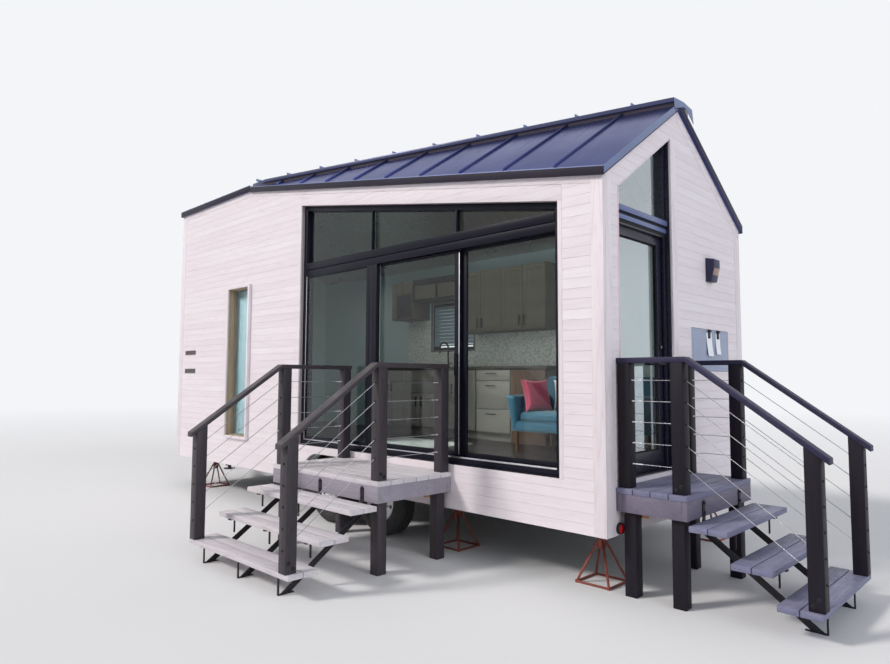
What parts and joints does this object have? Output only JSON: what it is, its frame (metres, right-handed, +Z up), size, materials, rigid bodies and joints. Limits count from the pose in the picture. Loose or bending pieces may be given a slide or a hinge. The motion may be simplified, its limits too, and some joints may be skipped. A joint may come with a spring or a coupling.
{
  "type": "tiny house on wheels",
  "caption": "Tiny house on a two-axle trailer with pale board siding, a dark seamed roof, a glass front with a sliding door and two cable-railed stoops",
  "frame": {"origin": "on the ground, below the middle of the whole box, stoops and drawbar included", "axes": "+X along the house towards the entry gable, +Y from the glass front towards the back, +Z up"},
  "size_m": [9.446, 4.256, 3.9538],
  "materials": {
    "siding_wood": "thin pale wash over sawn boards",
    "trim_wood": "thin pale wash over planed boards",
    "roof_metal": "dark satin coating",
    "frame_black": "black satin coating",
    "clear_glass": "clear double glazing",
    "lever_black": "black satin coating",
    "lamp_black": "dark satin coating",
    "hatch_grey": "grey matte paint",
    "vent_grey": "grey matte",
    "lens_red": "red ribbed lens",
    "trailer_paint": "black paint",
    "axle_steel": "dull dark paint",
    "jack_rust": "rust-red primer",
    "tyre_black": "rubber",
    "floor_board": "dark matte floor",
    "cabinet_grey": "pale grey satin",
    "counter_dark": "dark honed top",
    "cabinet_olive": "dark olive satin",
    "sofa_teal": "teal woven cloth",
    "pillow_cloth": "deep red cloth",
    "deck_front": "weathered grey stain",
    "deck_entry": "grey stain",
    "rim_front": "grey stain",
    "rim_entry": "grey stain",
    "post_dark": "dark charcoal stain",
    "cable_steel": "stainless cable",
    "stringer_black": "black paint"
  },
  "bodies": {
    "house": {"trailer_frame": "trailer_paint", "trailer_tongue": "trailer_paint", "axles": "axle_steel", "jack_stands": "jack_rust", "floor_deck": "floor_board", "front_wall_near": "siding_wood", "front_wall_far": "siding_wood", "front_wall_below": "siding_wood", "front_wall_head": "siding_wood", "entry_wall_corner": "siding_wood", "entry_wall_field": "siding_wood", "entry_wall_below": "siding_wood", "entry_wall_head": "siding_wood", "back_wall": "siding_wood", "far_wall": "siding_wood", "roof_front": "roof_metal", "roof_top": "roof_metal", "roof_back": "roof_metal", "roof_seams": "roof_metal", "ridge_cap": "roof_metal", "pale_trim": "trim_wood", "big_window_frame": "frame_black", "window_glass": "clear_glass", "door_frame": "frame_black", "small_window_frames": "frame_black", "gable_lamp": "lamp_black", "gable_panel": "hatch_grey", "vents": "vent_grey", "tail_lights": "lens_red", "kitchen_base": "cabinet_grey", "kitchen_top": "counter_dark", "kitchen_upper": "cabinet_olive", "faucet": "lever_black", "sofa": "sofa_teal", "sofa_pillows": "pillow_cloth", "side_stoop_deck": "deck_front", "side_stoop_frame": "rim_front", "side_stoop_posts": "post_dark", "side_stoop_rails": "post_dark", "side_stoop_cables": "cable_steel", "side_stoop_treads": "deck_front", "side_stoop_stringers": "stringer_black", "end_stoop_deck": "deck_entry", "end_stoop_frame": "rim_entry", "end_stoop_posts": "post_dark", "end_stoop_rails": "post_dark", "end_stoop_cables": "cable_steel", "end_stoop_treads": "deck_entry", "end_stoop_stringers": "stringer_black"},
    "sliding_panel": {"sliding_panel": "frame_black", "sliding_glass": "clear_glass"},
    "entry_door": {"entry_door": "frame_black", "entry_door_glass": "clear_glass", "door_lever": "lever_black"},
    "wheel_front_near": {"wheel_front_near": "tyre_black"},
    "wheel_front_far": {"wheel_front_far": "tyre_black"},
    "wheel_back_near": {"wheel_back_near": "tyre_black"},
    "wheel_back_far": {"wheel_back_far": "tyre_black"}
  },
  "joints": [
    {"name": "panel_slide", "type": "slide", "parent": "house", "child": "sliding_panel", "axis": [-1, 0, 0], "range_m": [0, 1]},
    {"name": "door_hinge", "type": "hinge", "parent": "house", "child": "entry_door", "pos_m": [3.234, -0.233, 1.698], "axis": [0, 0, 1], "range_deg": [0, 90]},
    {"name": "wheel_front_near_spin", "type": "hinge", "parent": "house", "child": "wheel_front_near", "pos_m": [0.877, -0.342, 0.338], "axis": [0, 1, 0], "continuous": true},
    {"name": "wheel_front_far_spin", "type": "hinge", "parent": "house", "child": "wheel_front_far", "pos_m": [0.037, -0.342, 0.338], "axis": [0, 1, 0], "continuous": true},
    {"name": "wheel_back_near_spin", "type": "hinge", "parent": "house", "child": "wheel_back_near", "pos_m": [0.877, 1.958, 0.338], "axis": [0, 1, 0], "continuous": true},
    {"name": "wheel_back_far_spin", "type": "hinge", "parent": "house", "child": "wheel_back_far", "pos_m": [0.037, 1.958, 0.338], "axis": [0, 1, 0], "continuous": true}
  ]
}
